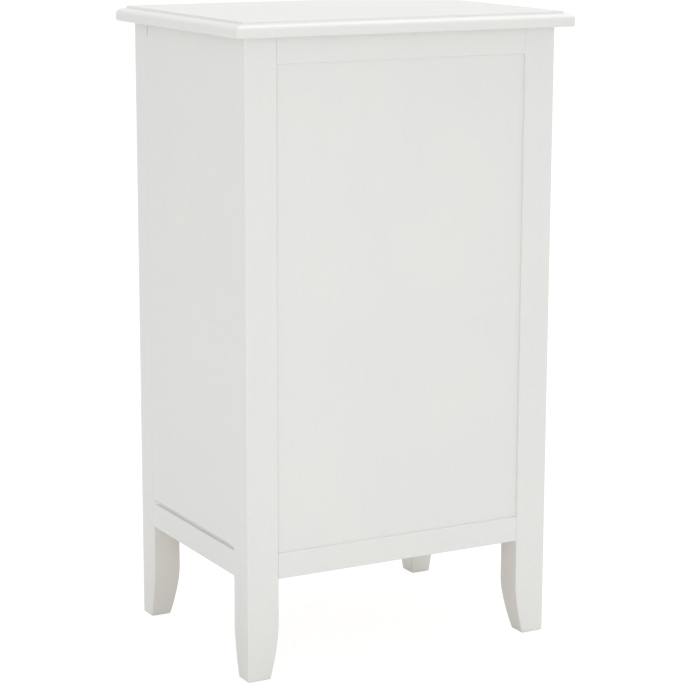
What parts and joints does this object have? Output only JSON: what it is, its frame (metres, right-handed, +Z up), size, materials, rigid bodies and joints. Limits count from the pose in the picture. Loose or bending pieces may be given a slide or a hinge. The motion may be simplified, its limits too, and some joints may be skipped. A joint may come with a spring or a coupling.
{
  "type": "apothecary cabinet",
  "caption": "Small free-standing painted cabinet on tapered legs, with a moulded top, a finished back and inset drawers with round knobs in the front.",
  "frame": {"origin": "on the floor, under the centre of the overall box", "axes": "+Z up; the drawers face and open towards -Y, the finished back faces +Y, +X is to the right of someone who faces the drawers"},
  "size_m": [0.441, 0.336, 0.762],
  "materials": {
    "white_paint": "off-white satin paint over wood",
    "bare_wood": "clear, unpainted light wood",
    "aged_brass": "aged, satin"
  },
  "bodies": {
    "cabinet": {"top_panel": "white_paint", "corner_post_front_left": "white_paint", "corner_post_front_right": "white_paint", "corner_post_back_left": "white_paint", "corner_post_back_right": "white_paint", "side_panel_left": "white_paint", "side_panel_right": "white_paint", "side_rail_left": "white_paint", "side_rail_right": "white_paint", "back_panel": "white_paint", "back_top_rail": "white_paint", "back_bottom_rail": "white_paint", "front_top_rail": "white_paint", "front_bottom_rail": "white_paint", "drawer_divider_1": "white_paint", "drawer_divider_2": "white_paint", "drawer_divider_3": "white_paint", "bottom_board": "bare_wood", "drawer_runner_1_left": "bare_wood", "drawer_runner_1_right": "bare_wood", "drawer_runner_2_left": "bare_wood", "drawer_runner_2_right": "bare_wood", "drawer_runner_3_left": "bare_wood", "drawer_runner_3_right": "bare_wood", "drawer_runner_4_left": "bare_wood", "drawer_runner_4_right": "bare_wood", "top_cleat_left": "bare_wood", "top_cleat_right": "bare_wood"},
    "drawer_1": {"drawer_1_front": "white_paint", "drawer_1_side_left": "bare_wood", "drawer_1_side_right": "bare_wood", "drawer_1_back": "bare_wood", "drawer_1_bottom": "bare_wood", "drawer_1_knob_left": "aged_brass", "drawer_1_knob_right": "aged_brass"},
    "drawer_2": {"drawer_2_front": "white_paint", "drawer_2_side_left": "bare_wood", "drawer_2_side_right": "bare_wood", "drawer_2_back": "bare_wood", "drawer_2_bottom": "bare_wood", "drawer_2_knob_left": "aged_brass", "drawer_2_knob_right": "aged_brass"},
    "drawer_3": {"drawer_3_front": "white_paint", "drawer_3_side_left": "bare_wood", "drawer_3_side_right": "bare_wood", "drawer_3_back": "bare_wood", "drawer_3_bottom": "bare_wood", "drawer_3_knob_left": "aged_brass", "drawer_3_knob_right": "aged_brass"},
    "drawer_4": {"drawer_4_front": "white_paint", "drawer_4_side_left": "bare_wood", "drawer_4_side_right": "bare_wood", "drawer_4_back": "bare_wood", "drawer_4_bottom": "bare_wood", "drawer_4_knob_left": "aged_brass", "drawer_4_knob_right": "aged_brass"}
  },
  "joints": [
    {"name": "drawer_1_slide", "type": "slide", "parent": "cabinet", "child": "drawer_1", "axis": [0, -1, 0], "range_m": [0, 0.2]},
    {"name": "drawer_2_slide", "type": "slide", "parent": "cabinet", "child": "drawer_2", "axis": [0, -1, 0], "range_m": [0, 0.2]},
    {"name": "drawer_3_slide", "type": "slide", "parent": "cabinet", "child": "drawer_3", "axis": [0, -1, 0], "range_m": [0, 0.2]},
    {"name": "drawer_4_slide", "type": "slide", "parent": "cabinet", "child": "drawer_4", "axis": [0, -1, 0], "range_m": [0, 0.2]}
  ]
}
